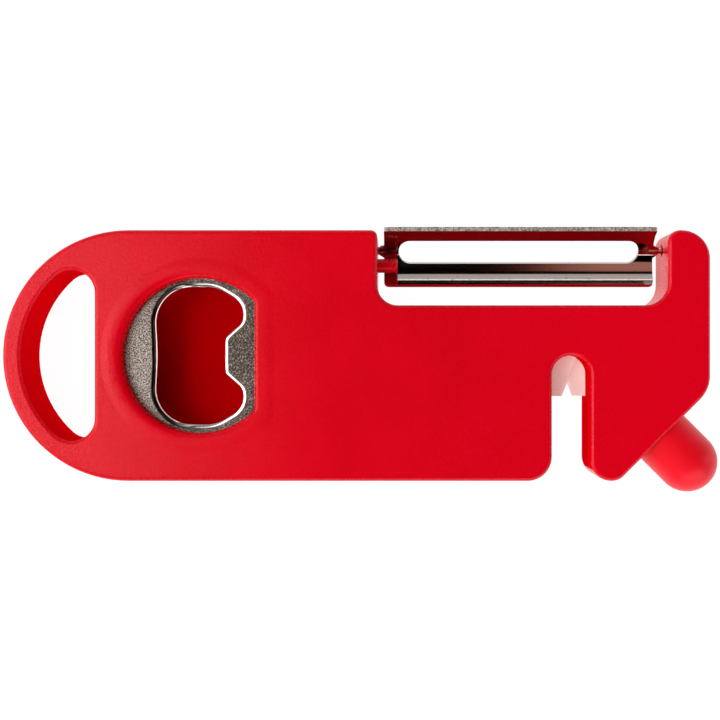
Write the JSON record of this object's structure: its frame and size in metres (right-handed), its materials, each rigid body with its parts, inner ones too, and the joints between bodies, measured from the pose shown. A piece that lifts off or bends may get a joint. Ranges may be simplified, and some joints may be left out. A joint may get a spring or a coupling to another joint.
{
  "type": "kitchen multi tool",
  "caption": "Flat moulded kitchen multi tool: hang hole, crown cap opener, swivel peeler blade in a notch, ceramic V knife sharpener in a slot and a round-nosed eye gouge at a cut corner.",
  "frame": {"origin": "middle of the underside of the bounding box, with the tool lying on its back face", "axes": "+X from the hang hole towards the sharpener end, +Y towards the peeler's edge, +Z out of the front face"},
  "size_m": [0.1736, 0.0644, 0.017],
  "materials": {
    "red_body": "fine spark grain",
    "red_gloss": "gloss",
    "tumbled_steel": "tumbled, grainy",
    "polished_steel": "mirror",
    "sharpening_ceramic": "matte, ground",
    "grey_moulding": "matte",
    "screw_steel": "zinc plated"
  },
  "bodies": {
    "tool_body": {"front_shell": "red_body", "back_shell": "red_body", "opener_plate": "tumbled_steel", "ceramic_plate_left": "sharpening_ceramic", "ceramic_plate_right": "sharpening_ceramic", "sharpener_cartridge": "grey_moulding", "eye_gouge": "red_gloss", "body_screws": "screw_steel"},
    "blade": {"peeler_blade": "polished_steel"}
  },
  "joints": [
    {"name": "blade_swivel", "type": "hinge", "parent": "tool_body", "child": "blade", "pos_m": [0.03825, 0.02712, 0.0085], "axis": [1, 0, 0], "range_deg": [-5, 80]}
  ]
}
